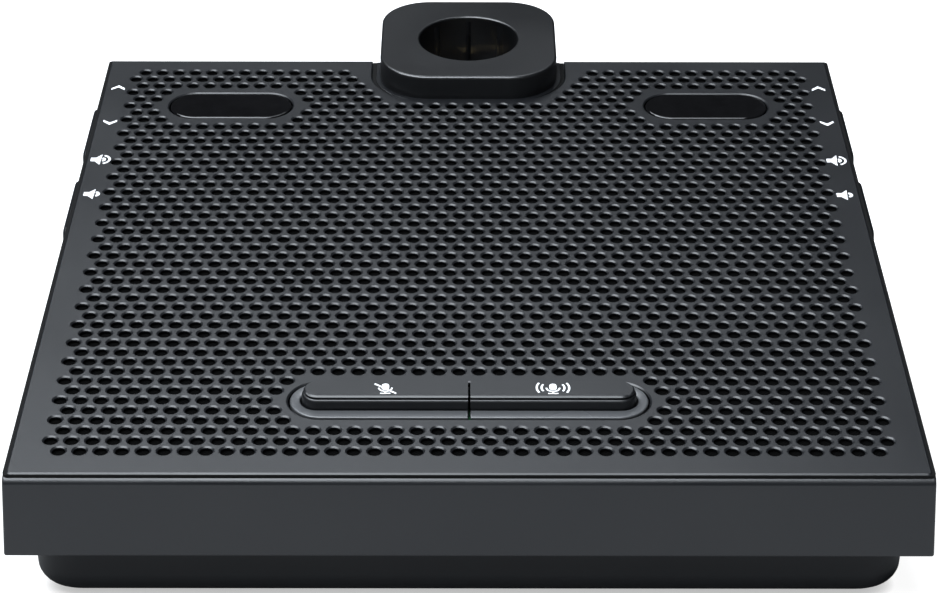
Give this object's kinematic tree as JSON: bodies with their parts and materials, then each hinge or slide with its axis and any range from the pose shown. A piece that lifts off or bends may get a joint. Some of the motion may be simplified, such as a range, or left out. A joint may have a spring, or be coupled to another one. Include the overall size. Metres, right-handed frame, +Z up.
{
  "type": "conference delegate unit",
  "caption": "Table-top conference unit: sloping perforated deck over a loudspeaker, round-cornered microphone socket, lit talk keys, display windows, side rockers and a set-in tray.",
  "frame": {"origin": "middle of the object's plan, at the level of the table under the feet", "axes": "+X to the user's right, +Y away from the user, +Z up; the deck slopes up towards +Y by 13 degrees"},
  "size_m": [0.153, 0.1673, 0.0649],
  "materials": {
    "housing_plastic": "satin bluish charcoal",
    "tray_plastic": "satin black",
    "plate_metal": "satin bluish charcoal paint",
    "key_plastic": "satin black",
    "ring_plastic": "translucent grey, unlit",
    "window_plastic": "smoked gloss",
    "acoustic_cloth": "black cloth",
    "circuit_board": "green solder mask",
    "component_plastic": "black",
    "plain_steel": "plain",
    "magnet_ferrite": "dark",
    "cone_paper": "matte black",
    "black_rubber": "matte",
    "coil_copper": "wound wire"
  },
  "bodies": {
    "housing": {"upper_housing": "housing_plastic", "base_tray": "tray_plastic", "grille_plate": "plate_metal", "grille_cloth": "acoustic_cloth", "socket_collar": "housing_plastic", "mic_connector": "component_plastic", "mute_light_ring": "ring_plastic", "speak_light_ring": "ring_plastic", "mute_key_switch": "component_plastic", "speak_key_switch": "component_plastic", "key_board": "circuit_board", "display_window_left": "window_plastic", "display_window_right": "window_plastic", "display_module_left": "component_plastic", "display_module_right": "component_plastic", "volume_rocker_left_pin": "plain_steel", "volume_rocker_right_pin": "plain_steel", "channel_rocker_left_pin": "plain_steel", "channel_rocker_right_pin": "plain_steel", "volume_rocker_switch_front_left": "component_plastic", "volume_rocker_switch_rear_left": "component_plastic", "volume_rocker_switch_front_right": "component_plastic", "volume_rocker_switch_rear_right": "component_plastic", "channel_rocker_switch_front_left": "component_plastic", "channel_rocker_switch_rear_left": "component_plastic", "channel_rocker_switch_front_right": "component_plastic", "channel_rocker_switch_rear_right": "component_plastic", "side_board_left": "circuit_board", "side_board_right": "circuit_board", "headphone_jack_left": "component_plastic", "headphone_jack_right": "component_plastic", "speaker_frame": "plain_steel", "speaker_surround": "black_rubber", "speaker_magnet": "magnet_ferrite", "main_board": "circuit_board", "network_jack_left": "component_plastic", "network_jack_right": "component_plastic", "rubber_foot_left_front": "black_rubber", "rubber_foot_right_front": "black_rubber", "rubber_foot_left_rear": "black_rubber", "rubber_foot_right_rear": "black_rubber", "housing_screw_1": "plain_steel", "housing_screw_2": "plain_steel", "housing_screw_3": "plain_steel", "housing_screw_4": "plain_steel"},
    "mute_key": {"mute_key": "key_plastic", "mute_key_plunger": "ring_plastic"},
    "speak_key": {"speak_key": "key_plastic", "speak_key_plunger": "ring_plastic"},
    "volume_rocker_left": {"volume_rocker_left": "housing_plastic"},
    "volume_rocker_right": {"volume_rocker_right": "housing_plastic"},
    "channel_rocker_left": {"channel_rocker_left": "housing_plastic"},
    "channel_rocker_right": {"channel_rocker_right": "housing_plastic"},
    "speaker_cone": {"speaker_cone": "cone_paper", "voice_coil": "coil_copper"}
  },
  "joints": [
    {"name": "mute_key_press", "type": "slide", "parent": "housing", "child": "mute_key", "axis": [0, 0.225, -0.9744], "range_m": [0, 0.0008], "stiffness_N_per_m": 600},
    {"name": "speak_key_press", "type": "slide", "parent": "housing", "child": "speak_key", "axis": [0, 0.225, -0.9744], "range_m": [0, 0.0008], "stiffness_N_per_m": 600},
    {"name": "volume_rocker_left_tilt", "type": "hinge", "parent": "housing", "child": "volume_rocker_left", "pos_m": [-0.0703, 0.01252, 0.03794], "axis": [0, -0.225, 0.9744], "range_deg": [-3, 3], "stiffness_Nm_per_rad": 0.05},
    {"name": "volume_rocker_right_tilt", "type": "hinge", "parent": "housing", "child": "volume_rocker_right", "pos_m": [0.0703, 0.01252, 0.03794], "axis": [0, -0.225, 0.9744], "range_deg": [-3, 3], "stiffness_Nm_per_rad": 0.05},
    {"name": "channel_rocker_left_tilt", "type": "hinge", "parent": "housing", "child": "channel_rocker_left", "pos_m": [-0.0703, 0.04185, 0.04471], "axis": [0, -0.225, 0.9744], "range_deg": [-3, 3], "stiffness_Nm_per_rad": 0.05},
    {"name": "channel_rocker_right_tilt", "type": "hinge", "parent": "housing", "child": "channel_rocker_right", "pos_m": [0.0703, 0.04185, 0.04471], "axis": [0, -0.225, 0.9744], "range_deg": [-3, 3], "stiffness_Nm_per_rad": 0.05},
    {"name": "speaker_cone_travel", "type": "slide", "parent": "housing", "child": "speaker_cone", "axis": [0, -0.225, 0.9744], "range_m": [-0.0005, 0.0005], "stiffness_N_per_m": 1500}
  ]
}
